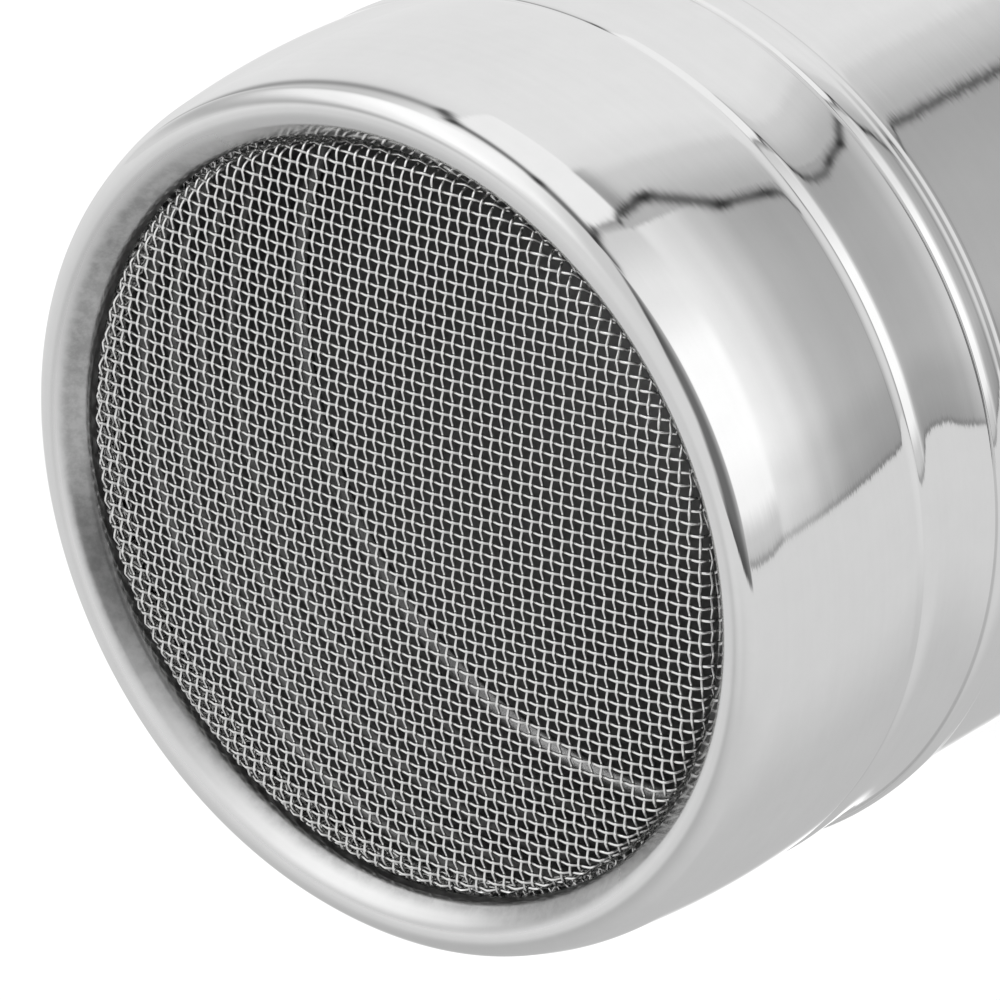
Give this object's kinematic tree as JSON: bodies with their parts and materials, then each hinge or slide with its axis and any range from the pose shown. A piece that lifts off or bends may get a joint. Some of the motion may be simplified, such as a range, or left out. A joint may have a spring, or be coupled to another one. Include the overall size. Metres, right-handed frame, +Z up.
{
  "type": "powder shaker",
  "caption": "Round steel shaker for spice, sugar or cocoa powder: a straight drawn can under a screw lid that holds a domed sieve of woven wire mesh.",
  "frame": {"origin": "centre of the foot ring, on the surface that the shaker stands on", "axes": "+Z up the axis of the can to the sieve; +X and +Y run along the two directions of the mesh wires"},
  "size_m": [0.0672, 0.0672, 0.0957],
  "materials": {
    "polished_steel": "polished stainless steel with a faint circumferential brushing",
    "plain_steel": "plain rolled stainless steel",
    "mesh_wire": "drawn stainless wire",
    "silicone": "translucent white silicone"
  },
  "bodies": {
    "can": {"can_body": "polished_steel"},
    "gasket": {"seal_gasket": "silicone"},
    "clamp": {"clamp_ring": "plain_steel"},
    "lid": {"lid_shell": "polished_steel", "thread_liner": "plain_steel", "mesh_warp_wires": "mesh_wire", "mesh_weft_wires": "mesh_wire"}
  },
  "joints": [
    {"name": "lid_lift_off", "type": "slide", "parent": "can", "child": "gasket", "axis": [0, 0, 1], "range_m": [0, 0.04]},
    {"name": "lid_rise", "type": "slide", "parent": "gasket", "child": "clamp", "axis": [0, 0, 1], "range_m": [0, 0.004]},
    {"name": "lid_turn", "type": "hinge", "parent": "clamp", "child": "lid", "pos_m": [0, 0, 0], "axis": [0, 0, 1], "range_deg": [0, 450]}
  ],
  "couplings": [
    {"joint": "lid_rise", "follows": "lid_turn", "m_per_rad": 0.00050929}
  ]
}
